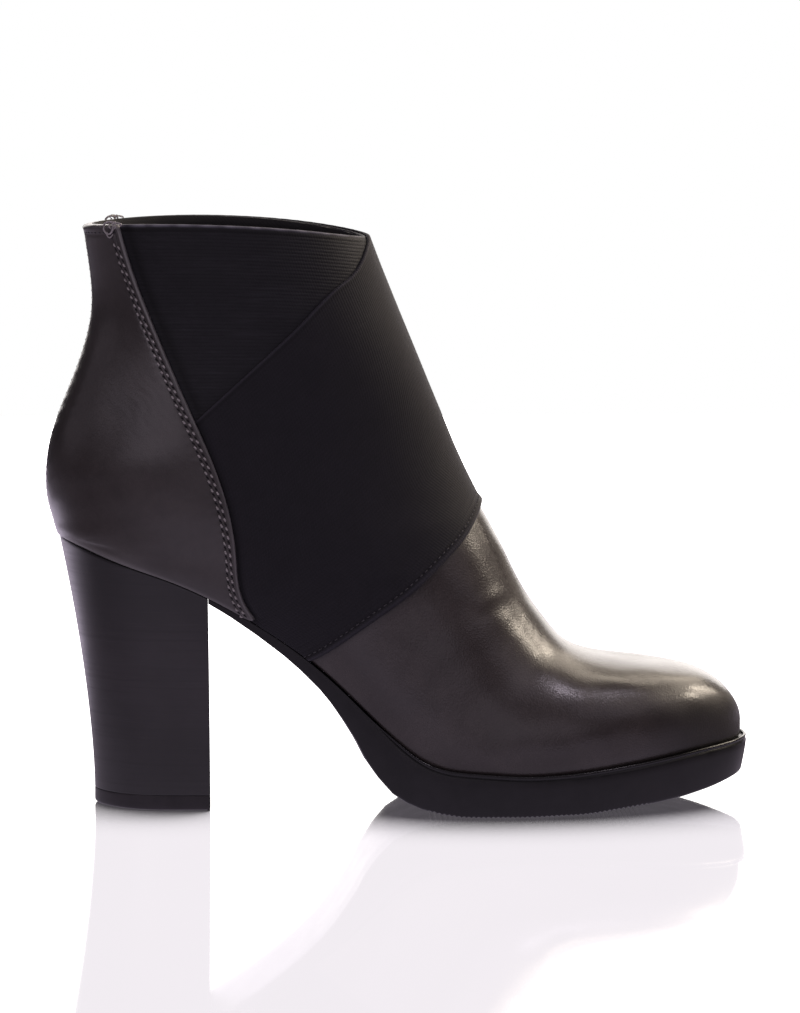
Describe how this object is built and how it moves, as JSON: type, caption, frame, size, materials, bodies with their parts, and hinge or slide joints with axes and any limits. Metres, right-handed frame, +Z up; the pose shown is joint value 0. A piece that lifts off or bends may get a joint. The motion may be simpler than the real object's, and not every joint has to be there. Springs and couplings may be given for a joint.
{
  "type": "heeled ankle boot",
  "caption": "Heeled ankle boot for the right foot: hollow leather and elastic upper with a wrapped elastic strap and leather back counter, on a rubber platform sole and block heel.",
  "frame": {"origin": "middle of the bounding box on the floor plane", "axes": "+X to the toe, +Y to the medial (left) side, +Z up"},
  "size_m": [0.2344, 0.0858, 0.1943],
  "materials": {
    "vamp_leather": "burnished, semi-gloss",
    "counter_leather": "burnished, semi-gloss",
    "elastic": "matt woven elastic",
    "lining": "matt",
    "sole_rubber": "satin",
    "heel_cover": "satin",
    "lift_rubber": "matt"
  },
  "bodies": {
    "root": {"upper": "vamp_leather", "back_counter": "counter_leather", "elastic_strap": "elastic", "insole": "lining", "outsole": "sole_rubber", "heel": "heel_cover", "heel_top_lift": "lift_rubber"}
  },
  "joints": []
}
